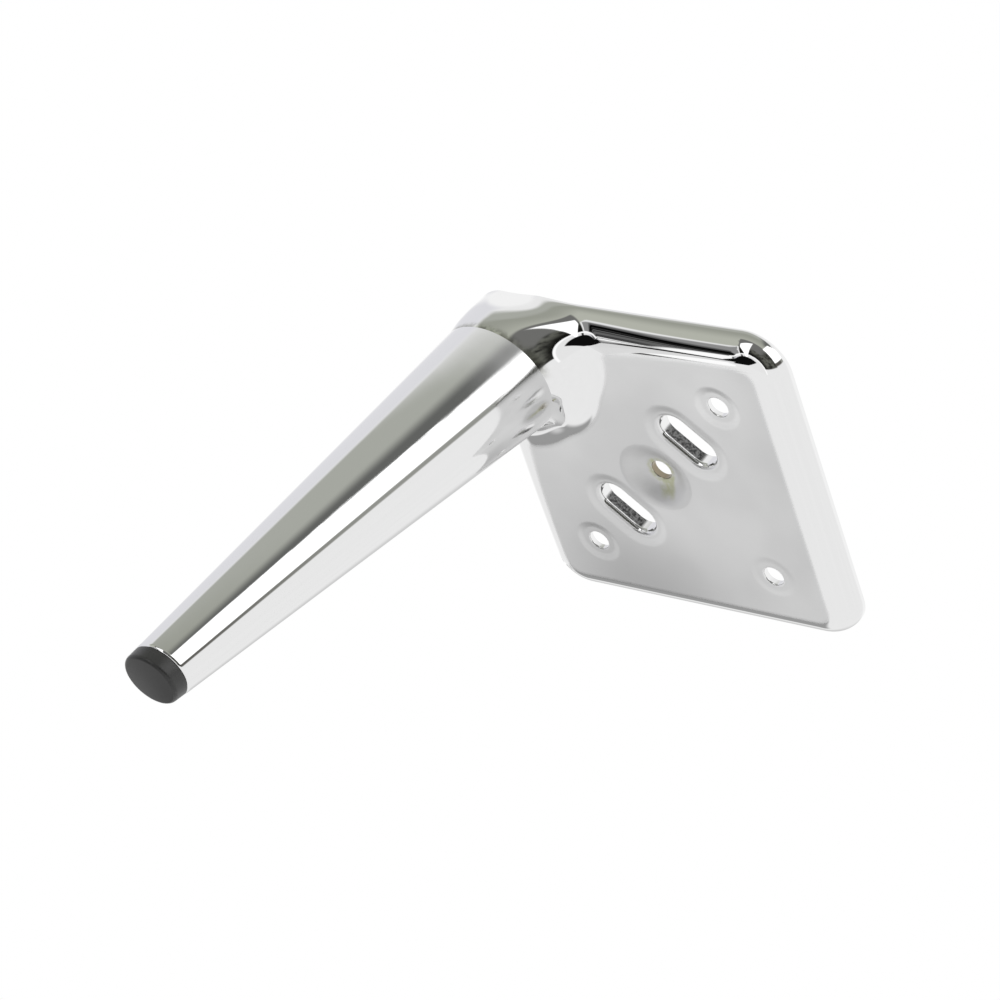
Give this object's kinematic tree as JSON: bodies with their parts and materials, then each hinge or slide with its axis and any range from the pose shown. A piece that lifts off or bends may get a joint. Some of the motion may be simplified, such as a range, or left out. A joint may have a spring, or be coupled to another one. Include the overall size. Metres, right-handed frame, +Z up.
{
  "type": "furniture leg",
  "caption": "Tapered chrome furniture leg, splayed from one corner of a square pressed mounting plate, with a black foot cap.",
  "frame": {"origin": "centre of the square mounting plate, on the plane of its rim that meets the furniture", "axes": "+Z up towards the furniture, normal to the plate; +X and +Y along the plate's sides, pointing away from the corner that carries the leg"},
  "size_m": [0.1025, 0.1025, 0.15],
  "materials": {
    "chrome_plate": "bright plating, satin on the flat face",
    "chrome_tube": "polished bright plating",
    "black_plastic": "satin black"
  },
  "bodies": {
    "root": {"mounting_plate": "chrome_plate", "leg_tube": "chrome_tube", "foot_cap": "black_plastic"}
  },
  "joints": []
}
